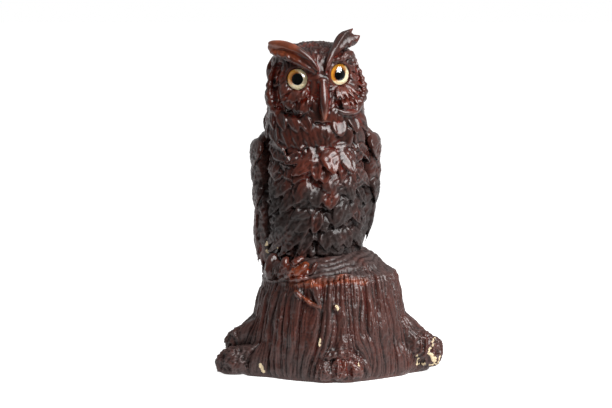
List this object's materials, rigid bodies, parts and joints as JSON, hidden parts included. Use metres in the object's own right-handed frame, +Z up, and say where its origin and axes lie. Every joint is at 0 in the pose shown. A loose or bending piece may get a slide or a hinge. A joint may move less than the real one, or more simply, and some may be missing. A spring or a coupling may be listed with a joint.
{
  "type": "owl figurine",
  "caption": "Lacquered plaster figurine of a horned owl with glass eyes, perched on a tree stump with bark and roots; a table or shelf ornament.",
  "frame": {"origin": "middle of the object's outline seen from above, on the plane it stands on", "axes": "+Z up; -Y is the front, where the owl's breast faces; +X is the owl's own left side"},
  "size_m": [0.1372, 0.1057, 0.2016],
  "materials": {
    "lacquered_plaster": "clear glossy lacquer over mahogany-brown stain",
    "eye_glass": "polished glass dome over an amber iris"
  },
  "bodies": {
    "root": {"owl_on_stump": "lacquered_plaster", "right_eye": "eye_glass", "left_eye": "eye_glass"}
  },
  "joints": []
}
